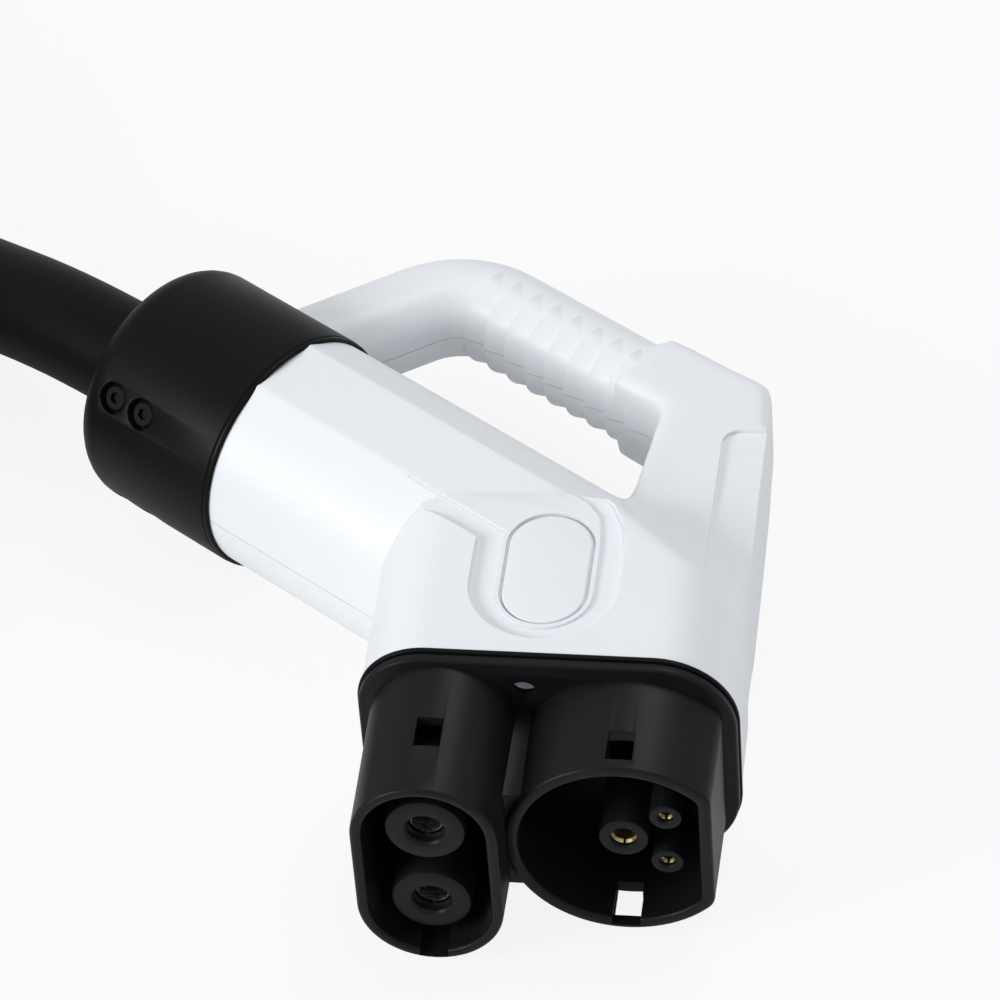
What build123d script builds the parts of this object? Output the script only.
"""Hand-held combined AC/DC charging plug, lying on its side.

Millimetres. +X is the mating direction, +Y points from the DC contacts to the handle, +Z is up.
The origin is on the axis of the protective-earth contact, in the front face of the flange.
The housing is symmetric about z = 0, where its two shells meet.
"""

from build123d import *
import os
from collections import namedtuple
from math import cos, radians, sin, tan

# ------------------------------------------------------------------ driving dimensions
FIT = 0.1  # sliding clearance between pieces that are assembled by hand

# Contact layout
DC_PITCH = 27.0
DC_DROP = 50.0  # from the earth contact down to the DC pair
SIGNAL_RISE = 11.3
SIGNAL_PITCH = 17.0

# Front flange, a rounded rectangle in the YZ plane
FLANGE_TOP = 27.8
FLANGE_BOTTOM = -72.9
FLANGE_HALF = 35.4
FLANGE_TOP_RADIUS = 22.0
FLANGE_BOTTOM_RADIUS = 19.0
FLANGE_THICK = 3.0
GASKET_THICK = 1.5
GASKET_PROUD = 0.6
SPIGOT_DEEP = 10.0  # block behind the flange that carries the contact towers

# Shrouds
SHROUD_WALL = 4.0
SHROUD_DRAFT = 0.8
ROUND_RADIUS = 31.5
ROUND_FLAT = 24.3
ROUND_CORNER = 6.0
ROUND_LONG = 31.4
DC_HALF_WIDTH = 19.8
DC_WALL = 3.5
DC_LONG = 43.9
RIM_ROUND = 1.1
WINDOW_NEAR = 18.0
WINDOW_LONG = 10.0
WINDOW_WIDE = 7.0
GROOVE_WIDE = 7.6
GROOVE_DEEP = 2.0
WEB_HALF = 17.0
WEB_LONG = 29.5

# Contact towers
DC_TOWER_RADIUS = 10.8
DC_TOWER_TIP = 40.4
PE_TOWER_RADIUS = 6.6
SIGNAL_TOWER_RADIUS = 4.35
AC_TOWER_TIP = 27.2
TOWER_FOOT_THICK = 4.0
TIP_WALL = 4.0
DC_PIN = 8.0
PE_PIN = 6.0
SIGNAL_PIN = 3.0
RETAINER_THICK = 3.0

# Housing
WALL = 3.0
HEAD_BACK = 47.0  # depth of the head on the DC side
BARREL_ANGLE = 55.0
BARREL_RISE = 30.5  # distance of the barrel axis from the origin
BARREL_RADIUS = 34.6
BARREL_BORE = 30.6
BARREL_END = 154.5
PAD_HALF = 10.8
PAD_HEIGHT = 34.0
PAD_CHAMFER_HALF = 18.3
PAD_CHAMFER_HEIGHT = 29.4
PADDLE_LONG = 53.6
PADDLE_WIDE = 40.0
PADDLE_X = -37.3
PADDLE_Y = -25.6
PADDLE_FLOOR = 33.0
INLAY_LONG = 40.5
INLAY_WIDE = 22.5
INLAY_SOFT = 0.7

# Handle
GRIP_RISE = 110.8  # distance of the grip's centre line from the origin, across the barrel direction
GRIP_WIDE = 26.0
GRIP_THICK = 28.0
GRIP_ROUND = 12.0
LEG_TOP = 27.0
LEG_HALF = 20.0
LEG_ROUND = 8.0
GRIP_START = 60.0
GRIP_END = 158.0
FOOT_NEAR = 160.0
FOOT_FAR = 192.0
FOOT_HALF = 14.0
FOOT_HIGH = 7.0
RIB_COUNT = 9
RIB_PITCH = 7.6
RIB_START = 79.0
RIB_HIGH = 0.8

# Collar, clamp and cable
COLLAR_RADIUS = 36.0
COLLAR_LONG = 52.5
COLLAR_WALL = 5.0
COLLAR_REAR_WALL = 6.0
COLLAR_REAR_ROUND = 9.0
SPIGOT_OVERLAP = 10.0
SEAL_THICK = 1.5
CABLE_DIAMETER = 32.0
CLAMP_LONG = 23.0
CABLE_START = 172.0  # along the barrel, inside the collar
CORE_RADIUS = 6.2
PE_CORE_RADIUS = 4.2
LEAD_RADIUS = 1.5
SCREW_RADIUS = 2.0
SCREW_HEAD = 3.5
SCREW_HEAD_HIGH = 2.4

# ------------------------------------------------------------------ derived places
REST_Z = -COLLAR_RADIUS  # the table that the plug lies on
FLOOR_X = -FLANGE_THICK  # cavity floor inside both shrouds
GASKET_X = FLOOR_X - GASKET_THICK  # front edge of the housing shells
SPIGOT_X = FLOOR_X - SPIGOT_DEEP
RETAINER_X = SPIGOT_X - RETAINER_THICK
ALONG = Vector(cos(radians(BARREL_ANGLE)), sin(radians(BARREL_ANGLE)), 0)
ACROSS = Vector(-sin(radians(BARREL_ANGLE)), cos(radians(BARREL_ANGLE)), 0)
COLLAR_FRONT = -BARREL_END
COLLAR_REAR = COLLAR_FRONT - COLLAR_LONG
COLLAR_BORE = COLLAR_RADIUS - COLLAR_WALL
SPIGOT_RADIUS = BARREL_BORE + 2.4
CABLE_RADIUS = CABLE_DIAMETER / 2
FLANGE_SCREW_Y = -28.2
FLANGE_SCREW_Z = 25.25
BOSS_RADIUS = 7.6

Pole = namedtuple("Pole", "name y z tower_radius tip pin shell core barrel_long")
# shell is the socket's wall round its pin bore, core the radius of the wire that is crimped in it
POLES = [
    Pole("dc_positive", -DC_DROP, DC_PITCH / 2, DC_TOWER_RADIUS, DC_TOWER_TIP, DC_PIN, 2.2, CORE_RADIUS, 29),
    Pole("dc_negative", -DC_DROP, -DC_PITCH / 2, DC_TOWER_RADIUS, DC_TOWER_TIP, DC_PIN, 2.2, CORE_RADIUS, 29),
    Pole("pe", 0, 0, PE_TOWER_RADIUS, AC_TOWER_TIP, PE_PIN, 1.5, PE_CORE_RADIUS, 19),
    Pole("cp", SIGNAL_RISE, SIGNAL_PITCH / 2, SIGNAL_TOWER_RADIUS, AC_TOWER_TIP, SIGNAL_PIN, 1.2, LEAD_RADIUS, 11),
    Pole("pp", SIGNAL_RISE, -SIGNAL_PITCH / 2, SIGNAL_TOWER_RADIUS, AC_TOWER_TIP, SIGNAL_PIN, 1.2, LEAD_RADIUS, 11),
]
SCREW_SPOTS = [(-30.0, -64.5), (-30.0, 19.5), (-80.0, 12.0), (-126.0, 14.0)]


# ------------------------------------------------------------------ frames and helpers
def face_plane(x):
    """Plane across the mating axis: local x is +Y, local y is +Z."""
    return Plane(origin=(x, 0, 0), x_dir=(0, 1, 0), z_dir=(1, 0, 0))


def along_x(sketch, rear, front, taper=0.0):
    return extrude(face_plane(rear) * sketch, amount=front - rear, taper=taper)


def barrel_plane(run, lift=BARREL_RISE):
    """Plane across the barrel at a distance along it: local x is away from the origin, local y is +Z."""
    return Plane(origin=ACROSS * lift + ALONG * run, x_dir=ACROSS, z_dir=ALONG)


def along_barrel(sketch, rear, front, lift=BARREL_RISE):
    return extrude(barrel_plane(rear, lift) * sketch, amount=front - rear)


def barrel_point(lift, run, z=0.0):
    return ACROSS * lift + ALONG * run + Vector(0, 0, z)


def rod(start, end, radius):
    start, end = Vector(start), Vector(end)
    return extrude(Plane(origin=start, z_dir=end - start) * Circle(radius), amount=(end - start).length)


def slab(outline, low, high):
    return extrude(Plane.XY.offset(low) * outline, amount=high - low)


def sweep_round(points, radii, radius):
    path = FilletPolyline(*points, radius=radii)
    return sweep(Plane(origin=path @ 0, z_dir=path % 0) * Circle(radius), path=path)


def flange_outline(grow=0.0):
    top, bottom, half = FLANGE_TOP + grow, FLANGE_BOTTOM - grow, FLANGE_HALF + grow
    corners = [(bottom, -half), (top, -half), (top, half), (bottom, half)]
    large, small = FLANGE_TOP_RADIUS + grow, FLANGE_BOTTOM_RADIUS + grow
    return make_face(FilletPolyline(*corners, radius=[small, large, large, small], close=True))


def d_outline(radius, flat, corner):
    span = 2 * radius
    disc = Circle(radius) & Pos((flat - span) / 2, 0) * Rectangle(flat + span, 2 * span)
    return fillet(disc.vertices(), corner)


def dc_outline(half_width):
    slot = SlotCenterToCenter(DC_PITCH, 2 * half_width, rotation=90)
    return Pos(-DC_DROP, 0) * slot


# ------------------------------------------------------------------ front interface
def shroud(outer, inner, long, rear):
    ring = along_x(outer, rear, long, SHROUD_DRAFT) - along_x(inner, FLOOR_X, long)
    return fillet(ring.edges().group_by(Axis.X)[-1], RIM_ROUND)


def lock_cuts(y, inner_half, wall):
    """Window right through both side walls, and the groove that leads from the rim to it."""
    cuts = []
    window_x = WINDOW_NEAR + WINDOW_LONG / 2
    for side in (1, -1):
        cuts.append(Pos(window_x, y, side * inner_half) * Box(WINDOW_LONG, WINDOW_WIDE, 4 * wall))
        groove_z = side * (inner_half - GROOVE_WIDE / 2 + GROOVE_DEEP)
        groove_x = WINDOW_NEAR + DC_LONG / 2
        cuts.append(Pos(groove_x, y, groove_z) * Box(DC_LONG, GROOVE_WIDE, GROOVE_WIDE))
    return cuts


def front_interface():
    body = along_x(flange_outline(), FLOOR_X, 0)
    body = chamfer(body.edges().group_by(Axis.X)[-1], 0.8)
    body += along_x(flange_outline(-WALL - 1.2), SPIGOT_X, FLOOR_X)
    round_inner = d_outline(ROUND_RADIUS - SHROUD_WALL, ROUND_FLAT - SHROUD_WALL, ROUND_CORNER - 2)
    dc_inner = dc_outline(DC_HALF_WIDTH - DC_WALL)
    body -= along_x(round_inner, FLOOR_X, 1)
    body -= along_x(dc_inner, FLOOR_X, 1)
    body += shroud(d_outline(ROUND_RADIUS, ROUND_FLAT, ROUND_CORNER), round_inner, ROUND_LONG, FLOOR_X)
    body += shroud(dc_outline(DC_HALF_WIDTH), dc_inner, DC_LONG, FLOOR_X)
    # web that ties the two shrouds, and the key rib on the DC shroud beside it
    web_low = -DC_DROP + DC_HALF_WIDTH - 1.0
    web_top = -sqrt_chord(ROUND_RADIUS - 1.0, WEB_HALF)
    web = Pos(WEB_LONG / 2, (web_low + web_top) / 2, 0) * Box(WEB_LONG, web_top - web_low, 2 * WEB_HALF)
    body += web - along_x(round_inner, FLOOR_X, DC_LONG) - along_x(dc_inner, FLOOR_X, DC_LONG)
    for cut in lock_cuts(0, ROUND_RADIUS - SHROUD_WALL, SHROUD_WALL):
        body -= cut
    for cut in lock_cuts(-DC_DROP, DC_PITCH / 2 + DC_HALF_WIDTH - DC_WALL, DC_WALL):
        body -= cut
    for pole in POLES:
        spot = Pos(pole.y, pole.z)
        body -= along_x(spot * Circle(pole.tower_radius + FIT), SPIGOT_X, FLOOR_X + 1)
        body -= along_x(spot * Circle(foot_radius(pole) + FIT), SPIGOT_X, SPIGOT_X + TOWER_FOOT_THICK)
    for side in (1, -1):
        spot = Pos(FLANGE_SCREW_Y, side * FLANGE_SCREW_Z)
        body -= along_x(spot * Circle(SCREW_RADIUS + FIT), SPIGOT_X, 1)
        body -= along_x(spot * Circle(SCREW_HEAD + FIT), SPIGOT_X + 4, 1)
    for y, z in retainer_spots():
        body -= along_x(Pos(y, z) * Circle(1.5), SPIGOT_X, SPIGOT_X + 7)
    return body


def sqrt_chord(radius, half):
    return (radius * radius - half * half) ** 0.5


def foot_radius(pole):
    return pole.tower_radius + (1.8 if pole.tower_radius > 8 else 1.4)


def socket_radius(pole):
    return pole.pin / 2 + pole.shell


def contact_tower(pole):
    """Insulating tower: a foot behind the floor, a tube, and a tip wall with a smaller mouth."""
    spot = Pos(pole.y, pole.z)
    tower = along_x(spot * Circle(pole.tower_radius), SPIGOT_X, pole.tip)
    tip_edge = tower.edges().group_by(Axis.X)[-1]
    tower = chamfer(tip_edge, 1.3 if pole.tower_radius > 8 else 0.5)
    tower += along_x(spot * Circle(foot_radius(pole)), SPIGOT_X, SPIGOT_X + TOWER_FOOT_THICK)
    tower -= along_x(spot * Circle(socket_radius(pole) + FIT), SPIGOT_X, pole.tip - TIP_WALL)
    tower -= along_x(spot * Circle(contact_collar(pole) + FIT), SPIGOT_X, SPIGOT_X + TOWER_FOOT_THICK / 2)
    tower -= along_x(spot * Circle(pole.pin / 2 + 0.4), SPIGOT_X, pole.tip)
    mouth = tower.edges().filter_by(GeomType.CIRCLE).group_by(Axis.X)[-1].sort_by(SortBy.RADIUS)[0]
    return chamfer(mouth, 0.6)


def contact_collar(pole):
    return socket_radius(pole) + 1.0


def crimp_radius(pole):
    """Wire strand bundle inside the insulation."""
    return pole.core * 0.8


def contact(pole):
    """Turned socket contact: pin bore in front, collar in the tower's foot, crimp barrel behind."""
    spot = Pos(pole.y, pole.z)
    front = pole.tip - TIP_WALL
    collar_front = SPIGOT_X + TOWER_FOOT_THICK / 2
    rear = SPIGOT_X - pole.barrel_long
    barrel = crimp_radius(pole) + 1.4
    body = along_x(spot * Circle(socket_radius(pole)), collar_front, front)
    body += along_x(spot * Circle(contact_collar(pole)), SPIGOT_X, collar_front)
    body += along_x(spot * Circle(barrel), rear, SPIGOT_X)
    body -= along_x(spot * Circle(pole.pin / 2), SPIGOT_X + 4, front)
    body -= along_x(spot * Circle(crimp_radius(pole)), rear, rear + pole.barrel_long / 2)
    return body


def retainer_spots():
    return [(-30.0, 11.5), (-30.0, -11.5), (16.0, 0.0), (-65.0, 0.0)]


def contact_retainer():
    plate = along_x(flange_outline(-WALL - 6), RETAINER_X, SPIGOT_X)
    for pole in POLES:
        hole = crimp_radius(pole) + 1.4 + FIT
        plate -= along_x(Pos(pole.y, pole.z) * Circle(hole), RETAINER_X, SPIGOT_X)
    for side in (1, -1):
        spot = Pos(FLANGE_SCREW_Y, side * FLANGE_SCREW_Z)
        plate -= along_x(spot * Circle(BOSS_RADIUS + 0.5), RETAINER_X, SPIGOT_X)
        plate -= along_x(Pos(FLANGE_SCREW_Y, side * (FLANGE_SCREW_Z + 8)) * Rectangle(16, 16), RETAINER_X, SPIGOT_X)
    for y, z in retainer_spots():
        plate -= along_x(Pos(y, z) * Circle(1.6), RETAINER_X, SPIGOT_X)
    return plate


def retainer_screws():
    screws = []
    for y, z in retainer_spots():
        screw = rod((RETAINER_X, y, z), (SPIGOT_X + 6, y, z), 1.5)
        screws.append(screw + rod((RETAINER_X - 1.8, y, z), (RETAINER_X, y, z), 2.8))
    return Compound(children=screws)


def flange_screws():
    screws = []
    seat = SPIGOT_X + 4
    for side in (1, -1):
        z = side * FLANGE_SCREW_Z
        head = rod((seat, FLANGE_SCREW_Y, z), (seat + SCREW_HEAD_HIGH, FLANGE_SCREW_Y, z), SCREW_HEAD)
        socket_depth = rod(
            (seat + SCREW_HEAD_HIGH - 1.4, FLANGE_SCREW_Y, z), (seat + SCREW_HEAD_HIGH, FLANGE_SCREW_Y, z), 1.5
        )
        shank = rod((SPIGOT_X - 12, FLANGE_SCREW_Y, z), (seat, FLANGE_SCREW_Y, z), SCREW_RADIUS)
        screws.append(head + shank - socket_depth)
    return Compound(children=screws)


def face_gasket():
    ring = along_x(flange_outline(GASKET_PROUD), GASKET_X, FLOOR_X)
    return ring - along_x(flange_outline(-WALL - 1.2 + FIT), GASKET_X, FLOOR_X)


# ------------------------------------------------------------------ housing
def head_outline(inset=0.0):
    """Side view of the head, from the gasket back to where barrel and handle take over."""
    top, bottom = FLANGE_TOP - inset, FLANGE_BOTTOM + inset
    turn = barrel_point(BARREL_RISE, -HEAD_BACK - 20)
    points = [
        (GASKET_X, bottom),
        (-HEAD_BACK, bottom),
        (turn.X, turn.Y - 22 + inset),
        (-66 + inset, -11),
        (-47 + inset, 9),
        (-41 + inset, 20 - inset / 2),
        (-31 + inset / 2, top),
        (GASKET_X, top),
    ]
    return make_face(Polyline(*points, close=True))


def head_body(inset=0.0):
    block = slab(head_outline(inset), -FLANGE_HALF + inset, FLANGE_HALF - inset)
    block &= along_x(flange_outline(-inset), -100, GASKET_X)
    return block


def barrel_section():
    disc = Circle(BARREL_RADIUS) & Rectangle(4 * BARREL_RADIUS, 2 * PAD_HEIGHT)
    for side in (1, -1):
        pad = make_face(
            Polyline(
                (-PAD_HALF, side * PAD_HEIGHT),
                (PAD_HALF, side * PAD_HEIGHT),
                (PAD_CHAMFER_HALF, side * PAD_CHAMFER_HEIGHT),
                (-PAD_CHAMFER_HALF, side * PAD_CHAMFER_HEIGHT),
                close=True,
            )
        )
        disc += pad
    return disc


def leg_body():
    """Front leg: the broad arm that runs from the head to the grip."""
    outer = GRIP_RISE + GRIP_WIDE / 2
    inner = GRIP_RISE - GRIP_WIDE / 2
    corner_run = (LEG_TOP - 0.5 - outer * ACROSS.Y) / ALONG.Y
    inner_run = (-4.0 - inner * ACROSS.Y) / ALONG.Y
    corner, inner_corner = barrel_point(outer, corner_run), barrel_point(inner, inner_run)
    tip_outer, tip_inner = barrel_point(outer, -92), barrel_point(inner, -92)
    points = [
        (-15, LEG_TOP),
        (corner.X, corner.Y),
        (tip_outer.X, tip_outer.Y),
        (tip_inner.X, tip_inner.Y),
        (inner_corner.X, inner_corner.Y),
        (-70, -10),
        (-50, -30),
        (-15, -30),
    ]
    outline = make_face(FilletPolyline(*points, radius=[1, 14, 1, 1, 6, 1, 1, 1], close=True))
    arm = slab(outline, -LEG_HALF, LEG_HALF)
    half_grip = GRIP_THICK / 2
    side = Polyline(
        (-10, -LEG_HALF), (-10, LEG_HALF), (-85, LEG_HALF - 1), (-150, half_grip), (-170, half_grip - 1),
        (-170, -half_grip + 1), (-150, -half_grip), (-85, -LEG_HALF + 1), close=True,
    )
    side_block = extrude(Plane(origin=(0, -60, 0), x_dir=(1, 0, 0), z_dir=(0, -1, 0)) * make_face(side), amount=-140)
    return arm & side_block


def grip_body():
    """Grip and rear leg: one rounded bar that turns down into the collar."""
    path = FilletPolyline(
        barrel_point(GRIP_RISE, -GRIP_START),
        barrel_point(GRIP_RISE, -GRIP_END),
        barrel_point(BARREL_RISE + 24, -181),
        radius=24,
    )
    section = fillet(Rectangle(GRIP_WIDE, GRIP_THICK).vertices(), GRIP_ROUND)
    return sweep(barrel_plane(-GRIP_START, GRIP_RISE) * section, path=path)


def grip_ribs():
    """Sawtooth finger ribs round the inner side of the grip."""
    ribs = []
    for index in range(RIB_COUNT):
        low = -RIB_START - (index + 1) * RIB_PITCH
        section = fillet(Rectangle(GRIP_WIDE + 2 * RIB_HIGH, GRIP_THICK + 2 * RIB_HIGH).vertices(), GRIP_ROUND)
        base = fillet(Rectangle(GRIP_WIDE - 0.2, GRIP_THICK - 0.2).vertices(), GRIP_ROUND - 1)
        faces = [barrel_plane(low, GRIP_RISE) * section, barrel_plane(low + RIB_PITCH - 1.2, GRIP_RISE) * base]
        ribs.append(loft(faces))
    keep = along_barrel(
        Pos(-GRIP_WIDE / 2 - 1, 0) * Rectangle(GRIP_WIDE + 2, 2 * GRIP_THICK), -180, -60, GRIP_RISE
    )
    return [rib & keep for rib in ribs]


def foot_block(grow=0.0):
    """Base of the rear leg, which fills the slot in the collar."""
    half = FOOT_HALF + grow
    long = FOOT_FAR - BARREL_END + 12
    outline = Rectangle(2 * half, long)
    middle = -(FOOT_FAR - long / 2) - grow
    plane = Plane(origin=barrel_point(BARREL_RISE + COLLAR_BORE + 0.2, middle), x_dir=(0, 0, 1), z_dir=ACROSS)
    block = extrude(plane * outline, amount=FOOT_HIGH)
    rear_edges = block.edges().filter_by(lambda e: abs((e @ 0 - e @ 1).dot(ACROSS)) > FOOT_HIGH / 2)
    rear_edges = [e for e in rear_edges if (e @ 0).dot(ALONG) < middle]
    return fillet(rear_edges, 10)


def housing_body():
    body = head_body()
    body += along_barrel(barrel_section(), -BARREL_END, -48)
    collar_room = along_barrel(Circle(COLLAR_RADIUS + 0.2), COLLAR_REAR - 1, COLLAR_FRONT + SEAL_THICK)
    body += leg_body() + (grip_body() - collar_room)
    body += foot_block()
    for rib in grip_ribs():
        body += rib
    # spigot that the collar slides over
    body += along_barrel(Circle(SPIGOT_RADIUS), -BARREL_END - SPIGOT_OVERLAP, -BARREL_END + 1)
    body += paddle_rim()
    body -= paddle_pockets()
    cavity = head_body(WALL) + along_barrel(Circle(BARREL_BORE), -BARREL_END - SPIGOT_OVERLAP - 1, -48)
    cavity -= screw_posts()
    return body - cavity


def paddle_rim():
    """The flat side of the head runs out round the oval paddle."""
    outline = Pos(PADDLE_X, PADDLE_Y) * SlotOverall(PADDLE_LONG + 6, PADDLE_WIDE + 6)
    rim = slab(outline, -FLANGE_HALF + 1, FLANGE_HALF - 1)
    return rim & along_x(flange_outline(), -100, GASKET_X)


def paddle_pockets():
    outline = Pos(PADDLE_X, PADDLE_Y) * SlotOverall(PADDLE_LONG, PADDLE_WIDE)
    island = Pos(PADDLE_X, PADDLE_Y) * SlotOverall(INLAY_LONG, INLAY_WIDE)
    upper = slab(outline, PADDLE_FLOOR, 2 * PADDLE_FLOOR)
    lower = slab(outline - island, -2 * PADDLE_FLOOR, -PADDLE_FLOOR)
    lower += slab(island, -2 * PADDLE_FLOOR, -PAD_HEIGHT)
    return upper + lower


def screw_posts():
    posts = [slab(Pos(x, y) * Circle(5.0), -FLANGE_HALF, FLANGE_HALF) for x, y in SCREW_SPOTS[:2]]
    for side in (1, -1):
        spot = Pos(FLANGE_SCREW_Y, side * FLANGE_SCREW_Z)
        posts.append(along_x(spot * Circle(BOSS_RADIUS), SPIGOT_X - 14, SPIGOT_X))
    return Compound(children=posts)


def screw_spots():
    last = barrel_point(GRIP_RISE, -146)
    return SCREW_SPOTS + [(last.X, last.Y)]


SEAT_Z = -10.0


def housing_half(body, side):
    half = slab(Pos(-90, -60) * Rectangle(400, 400), *((0, 60) if side > 0 else (-60, 0)))
    shell = body & half
    for x, y in screw_spots():
        spot = Pos(x, y)
        if side > 0:
            shell -= slab(spot * Circle(SCREW_RADIUS), 0, 9)
        else:
            shell -= slab(spot * Circle(SCREW_RADIUS + FIT), SEAT_Z, 0)
            shell -= slab(spot * Circle(SCREW_HEAD + FIT), -60, SEAT_Z)
    z = side * FLANGE_SCREW_Z
    shell -= rod((SPIGOT_X - 12, FLANGE_SCREW_Y, z), (SPIGOT_X + 1, FLANGE_SCREW_Y, z), SCREW_RADIUS)
    return shell


def housing_screws():
    screws = []
    for x, y in screw_spots():
        shank = rod((x, y, SEAT_Z), (x, y, 8), SCREW_RADIUS)
        head = rod((x, y, SEAT_Z - SCREW_HEAD_HIGH), (x, y, SEAT_Z), SCREW_HEAD)
        screws.append(shank + head)
    return Compound(children=screws)


def emblem_inlay():
    outline = Pos(PADDLE_X, PADDLE_Y) * SlotOverall(INLAY_LONG, INLAY_WIDE)
    plate = slab(outline, PADDLE_FLOOR, PAD_HEIGHT)
    return chamfer(plate.edges().group_by(Axis.Z)[-1], INLAY_SOFT)


# ------------------------------------------------------------------ collar and cable entry
COLLAR_SCREW_ANGLE = 146.0
COLLAR_SCREW_RUNS = (-182.5, -193.4)
COUNTERBORE = 4.7
COLLAR_SEAT = COLLAR_RADIUS - 3.2
CLAMP_FRONT = -176.0
CLAMP_REAR = CLAMP_FRONT - CLAMP_LONG
CLAMP_SCREW_ACROSS = 23.5
GROMMET_RADIUS = CABLE_RADIUS + 3


def collar_screw_frames():
    """Radial planes at the counterbore seats, two above and two below the parting plane."""
    frames = []
    for side in (1, -1):
        turn = radians(COLLAR_SCREW_ANGLE)
        out = ACROSS * cos(turn) + Vector(0, 0, side * sin(turn))
        for run in COLLAR_SCREW_RUNS:
            frames.append(Plane(origin=barrel_point(BARREL_RISE, run) + out * COLLAR_SEAT, z_dir=out))
    return frames


def rear_collar():
    ring = along_barrel(Circle(COLLAR_RADIUS), COLLAR_REAR, COLLAR_FRONT)
    rear_edge = ring.edges().sort_by(lambda e: e.center().dot(ALONG))[0]
    ring = fillet(rear_edge, COLLAR_REAR_ROUND)
    ring -= along_barrel(Circle(SPIGOT_RADIUS + FIT), COLLAR_FRONT - SPIGOT_OVERLAP - FIT, COLLAR_FRONT)
    ring -= along_barrel(Circle(COLLAR_BORE), COLLAR_REAR + COLLAR_REAR_WALL, COLLAR_FRONT)
    ring -= along_barrel(Circle(GROMMET_RADIUS), COLLAR_REAR, COLLAR_FRONT)
    ring -= foot_block(0.15)
    for frame in collar_screw_frames():
        ring -= extrude(frame * Circle(COUNTERBORE), amount=10)
        ring -= extrude(frame * Circle(SCREW_RADIUS + FIT), amount=-8)
    return ring


def collar_seal():
    front = COLLAR_FRONT + SEAL_THICK
    ring = along_barrel(Circle(COLLAR_RADIUS - 0.1), COLLAR_FRONT, front)
    return ring - along_barrel(barrel_section(), COLLAR_FRONT, front) - foot_block(0.15)


def collar_screws():
    screws = []
    for frame in collar_screw_frames():
        head = extrude(frame * Circle(SCREW_HEAD), amount=SCREW_HEAD_HIGH)
        head -= extrude(frame.offset(SCREW_HEAD_HIGH - 1.3) * Circle(1.6), amount=2)
        screws.append(head + extrude(frame * Circle(SCREW_RADIUS), amount=-11))
    return Compound(children=screws)


def cable_clamp(side):
    ring = along_barrel(Circle(COLLAR_BORE) - Circle(CABLE_RADIUS), CLAMP_REAR, CLAMP_FRONT)
    half = slab(Pos(-130, -130) * Rectangle(200, 200), *((0, 60) if side > 0 else (-60, 0)))
    ring = ring & half
    for frame in collar_screw_frames():
        ring -= extrude(frame * Circle(SCREW_RADIUS), amount=-11)
    for across in (CLAMP_SCREW_ACROSS, -CLAMP_SCREW_ACROSS):
        spot = barrel_point(BARREL_RISE + across, (CLAMP_FRONT + CLAMP_REAR) / 2 + 8)
        if side > 0:
            ring -= slab(Pos(spot.X, spot.Y) * Circle(1.75 + FIT), -1, 60)
            ring -= slab(Pos(spot.X, spot.Y) * Circle(3.1), 8, 60)
        else:
            ring -= slab(Pos(spot.X, spot.Y) * Circle(1.75), -9, 1)
    return ring


def clamp_screws():
    screws = []
    for across in (CLAMP_SCREW_ACROSS, -CLAMP_SCREW_ACROSS):
        spot = barrel_point(BARREL_RISE + across, (CLAMP_FRONT + CLAMP_REAR) / 2 + 8)
        shank = rod((spot.X, spot.Y, -8), (spot.X, spot.Y, 8), 1.75)
        screws.append(shank + rod((spot.X, spot.Y, 8), (spot.X, spot.Y, 10), 3.0))
    return Compound(children=screws)


def cable_grommet():
    bush = along_barrel(Circle(GROMMET_RADIUS), COLLAR_REAR - 2.5, CLAMP_REAR)
    bush += along_barrel(Circle(GROMMET_RADIUS + 5), COLLAR_REAR + COLLAR_REAR_WALL, CLAMP_REAR)
    return bush - along_barrel(Circle(CABLE_RADIUS), COLLAR_REAR - 2.5, CLAMP_REAR)


# ------------------------------------------------------------------ conductors inside the housing
def inner_wire(pole, lift, z, radii):
    """Insulated core from the crimp barrel to the end face of the cable jacket."""
    rear = SPIGOT_X - pole.barrel_long
    bend = (pole.y - lift * ACROSS.Y) / ALONG.Y
    turn = barrel_point(lift, bend)
    points = [(rear, pole.y, pole.z)]
    if abs(z - pole.z) > 0.1:
        points.append((rear - 8, pole.y, pole.z))
        late = barrel_point(lift, bend - 5)
        points.append((late.X, late.Y, z))
    else:
        points.append((turn.X, turn.Y, z))
    points.append(barrel_point(lift, -CABLE_START, z))
    wire = sweep_round(points, radii, pole.core)
    strand = rod((rear, pole.y, pole.z), (rear + pole.barrel_long / 2, pole.y, pole.z), crimp_radius(pole))
    return wire + strand


def coding_resistor():
    body = Pos(RETAINER_X - 1.5, 6.7, -5.5) * Box(3, 3.2, 6.5)
    return fillet(body.edges().filter_by(Axis.Z), 0.6)


def temperature_sensors():
    sensors = []
    for pole in POLES[:2]:
        side = 1 if pole.z > 0 else -1
        top = pole.z + side * (crimp_radius(pole) + 1.4)
        sensors.append(Pos(RETAINER_X - 5, pole.y, top + side * 1.1) * Box(8, 5, 2.2))
    return Compound(children=sensors)


# ------------------------------------------------------------------ cable outside
COIL_RADIUS = 185.0
COIL_RUN = -450.0  # where the cable meets the coil, along the barrel direction
TURNS = 4
FLOOR_AXIS = REST_Z + CABLE_RADIUS
OUTER_TURN = COIL_RADIUS + CABLE_RADIUS
CABLE_POINTS = [
    barrel_point(BARREL_RISE, -CABLE_START),
    barrel_point(BARREL_RISE, -240),
    barrel_point(BARREL_RISE + 0.4, -294, FLOOR_AXIS * 0.58),
    barrel_point(BARREL_RISE + 0.9, -344, FLOOR_AXIS),
    barrel_point(BARREL_RISE, -397, FLOOR_AXIS),
    barrel_point(BARREL_RISE, COIL_RUN, FLOOR_AXIS),
]


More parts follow.
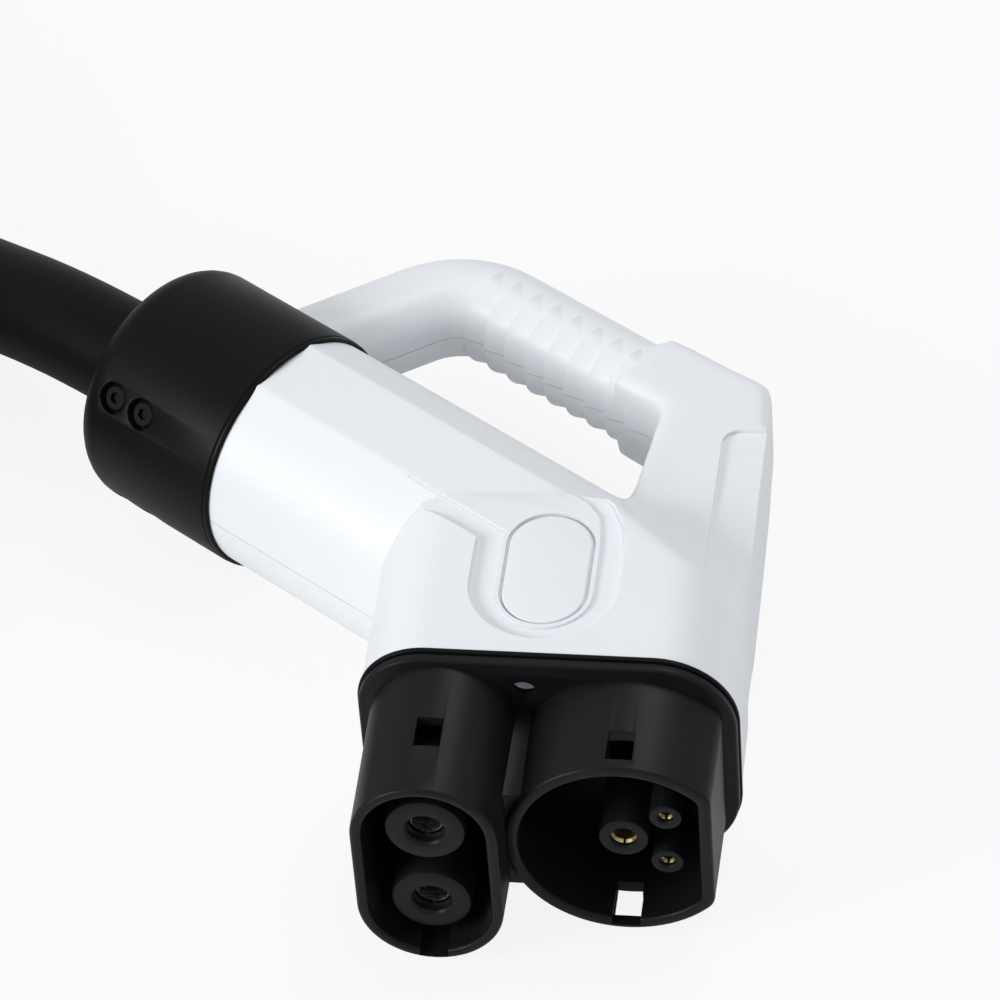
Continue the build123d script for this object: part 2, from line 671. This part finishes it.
def arc_radii(points, share=0.45):
    """Each corner's arc is as large as its two runs allow."""
    radii = []
    for before, here, after in zip(points, points[1:], points[2:]):
        first, second = Vector(here) - Vector(before), Vector(after) - Vector(here)
        turn = radians(first.get_angle(second))
        radii.append(share * min(first.length, second.length) / tan(turn / 2))
    return radii


def cable_run():
    radii = arc_radii(CABLE_POINTS)
    print("cable run arc radii", [round(r) for r in radii], "least allowed", 5 * CABLE_DIAMETER)
    run = sweep_round(CABLE_POINTS, radii, CABLE_RADIUS)
    length = FilletPolyline(*CABLE_POINTS, radius=radii).length
    print("cable run volume over section times length", round(run.volume / (3.14159265 * CABLE_RADIUS**2 * length), 4))
    return run


def coil_centre():
    return barrel_point(BARREL_RISE - OUTER_TURN, COIL_RUN)


def coil_mouth(start, heading, outward, low, high, room):
    """Room beside the coil for the run that leaves it, square to the run where they meet."""
    plane = Plane(origin=(start.X, start.Y, 0), x_dir=outward, z_dir=heading)
    side = -1 if plane.y_dir.Z < 0 else 1
    across = OUTER_TURN / 2 - CABLE_RADIUS - room
    outline = Pos(across, side * (low + high) / 2) * Rectangle(OUTER_TURN, high - low)
    return extrude(plane * outline, amount=260)


def cable_coil():
    """Closed outer form of the coiled cable: two turns side by side, two layers."""
    centre = coil_centre()
    middle = REST_Z + CABLE_DIAMETER
    section = Pos(COIL_RADIUS, middle) * RectangleRounded(
        2 * CABLE_DIAMETER, 2 * CABLE_DIAMETER, CABLE_RADIUS - 1
    )
    ring = Pos(centre.X, centre.Y, 0) * revolve(Plane.XZ * section, Axis.Z)
    ring -= coil_mouth(CABLE_POINTS[-1], ALONG, ACROSS, middle - 200, middle + CLEAR, CLEAR)
    ring -= coil_mouth(TAIL_POINTS[0], Vector(0, -1, 0), Vector(-1, 0, 0), middle - CLEAR, middle + 200, TAIL_ROOM)
    return ring


def cable_tail():
    radii = arc_radii(TAIL_POINTS)
    print("cable tail arc radii", [round(r) for r in radii], "least allowed", 5 * CABLE_DIAMETER)
    return sweep_round(TAIL_POINTS, radii, CABLE_RADIUS)


def tail_plane(run=0.0):
    """Plane across the free end of the cable: local x is level, local y points up."""
    heading = (TAIL_POINTS[-1] - TAIL_POINTS[-2]).normalized()
    level = heading.cross(Vector(0, 0, 1)).normalized()
    return Plane(origin=TAIL_POINTS[-1] + heading * run, x_dir=level, z_dir=heading)


def tail_boot():
    """Shrink-on boot that seals the end of the jacket round the cores."""
    sleeve = extrude(tail_plane(-BOOT_LONG / 2) * Circle(CABLE_RADIUS + BOOT_WALL), amount=BOOT_LONG / 2)
    neck = loft([tail_plane() * Circle(CABLE_RADIUS + BOOT_WALL), tail_plane(BOOT_LONG / 2) * Circle(CABLE_RADIUS - 1)])
    boot = sleeve + neck - extrude(tail_plane(-BOOT_LONG) * Circle(CABLE_RADIUS), amount=BOOT_LONG)
    for across, up, radius in TAIL_CORES:
        boot -= extrude(tail_plane() * Pos(across, up) * Circle(radius), amount=BOOT_LONG)
    return boot


def tail_core(across, up, radius, spread):
    """One core, splayed after it leaves the boot so that the lugs lie side by side."""
    frame = tail_plane()
    points = [frame.from_local_coords(Vector(across, up, run)) for run in (0, BOOT_LONG / 2 + 6)]
    points.append(frame.from_local_coords(Vector(across + spread / 2, up, CORE_LONG / 2)))
    points.append(frame.from_local_coords(Vector(across + spread, up, CORE_LONG)))
    return sweep_round(points, [40, 60], radius) if spread else rod(points[0], points[-1], radius)


def tail_lug(across, up, radius, spread):
    """Crimped ring lug on a core: a barrel over the core's end and a flat palm with a bolt hole."""
    end = tail_plane().from_local_coords(Vector(across + spread, up, CORE_LONG))
    before = tail_plane().from_local_coords(Vector(across + spread / 2, up, CORE_LONG / 2))
    heading = (end - before).normalized()
    level = heading.cross(Vector(0, 0, 1)).normalized()
    plane = Plane(origin=end, x_dir=level, z_dir=heading)
    barrel = extrude(plane * Circle(radius), amount=2.6 * radius)
    flat = Plane(origin=end + heading * 2.4 * radius, x_dir=heading, z_dir=level.cross(heading) * -1)
    palm = extrude(flat * Pos(1.5 * radius, 0) * SlotOverall(4.2 * radius, 2.4 * radius), amount=0.3 * radius, both=True)
    hole = extrude(flat * Pos(2.2 * radius, 0) * Circle(0.75 * radius), amount=radius, both=True)
    return barrel + palm - hole


CLEAR = 2.0
BOOT_LONG = 60.0
BOOT_WALL = 2.0
CORE_LONG = 140.0
SIGNAL_CORE_RADIUS = 2.5
# across, up and radius of each core at the end of the jacket
TAIL_CORES = [
    (-6.6, -3.5, CORE_RADIUS),
    (6.6, -3.5, CORE_RADIUS),
    (0, 8.5, PE_CORE_RADIUS),
    (0, -11.3, SIGNAL_CORE_RADIUS),
]
TAIL_SPREAD = [-14, 14, 0, 0]
UPPER_AXIS = FLOOR_AXIS + CABLE_DIAMETER
TAIL_RUN = 72.0
TAIL_TURN = 16.0
TAIL_DROPS = [0, 0, 16, 32, 32]
TAIL_ROOM = 34.0


def tail_points():
    """The tail leaves the upper layer, swings out and comes down to the floor beside the coil."""
    centre = coil_centre()
    x, y = centre.X - OUTER_TURN, centre.Y
    points = [Vector(x, y, UPPER_AXIS)]
    for step, drop in enumerate(TAIL_DROPS):
        heading = radians(TAIL_TURN * step)
        x += TAIL_RUN * sin(heading)
        y -= TAIL_RUN * cos(heading)
        points.append(Vector(x, y, UPPER_AXIS - drop))
    return points


TAIL_POINTS = tail_points()
NODES = {}


def build_nodes():
    body = housing_body()
    NODES["housing_upper"] = housing_half(body, 1)
    NODES["housing_lower"] = housing_half(body, -1)
    NODES["emblem_inlay"] = emblem_inlay()
    NODES["face_gasket"] = face_gasket()
    NODES["front_interface"] = front_interface()
    for pole in POLES:
        NODES[pole.name + "_tower"] = contact_tower(pole)
        NODES[pole.name + "_contact"] = contact(pole)
    NODES["contact_retainer"] = contact_retainer()
    NODES["retainer_screws"] = retainer_screws()
    NODES["flange_screws"] = flange_screws()
    NODES["housing_screws"] = housing_screws()
    NODES["rear_collar"] = rear_collar()
    NODES["collar_seal"] = collar_seal()
    NODES["collar_screws"] = collar_screws()
    NODES["cable_clamp_upper"] = cable_clamp(1)
    NODES["cable_clamp_lower"] = cable_clamp(-1)
    NODES["clamp_screws"] = clamp_screws()
    NODES["cable_grommet"] = cable_grommet()
    NODES["dc_positive_core"] = inner_wire(POLES[0], BARREL_RISE - 3.5, 6.6, [25, 30])
    NODES["dc_negative_core"] = inner_wire(POLES[1], BARREL_RISE - 3.5, -6.6, [25, 30])
    NODES["pe_core"] = inner_wire(POLES[2], BARREL_RISE + 8.5, 0, [18])
    NODES["cp_lead"] = inner_wire(POLES[3], BARREL_RISE + 9, SIGNAL_PITCH / 2, [15])
    NODES["pp_lead"] = inner_wire(POLES[4], BARREL_RISE + 9, -SIGNAL_PITCH / 2, [15])
    NODES["coding_resistor"] = coding_resistor()
    NODES["temperature_sensors"] = temperature_sensors()
    NODES["cable_run"] = cable_run()
    NODES["cable_coil"] = cable_coil()
    NODES["cable_tail"] = cable_tail()
    NODES["tail_boot"] = tail_boot()
    cores = [tail_core(*core, spread) for core, spread in zip(TAIL_CORES, TAIL_SPREAD)]
    lugs = [tail_lug(*core, spread) for core, spread in zip(TAIL_CORES[:3], TAIL_SPREAD)]
    NODES["tail_cores"] = Compound(children=cores)
    NODES["tail_lugs"] = Compound(children=lugs)


build_nodes()
os.makedirs("parts", exist_ok=True)
for name, shape in NODES.items():
    export_step(shape, f"parts/{name}.step")
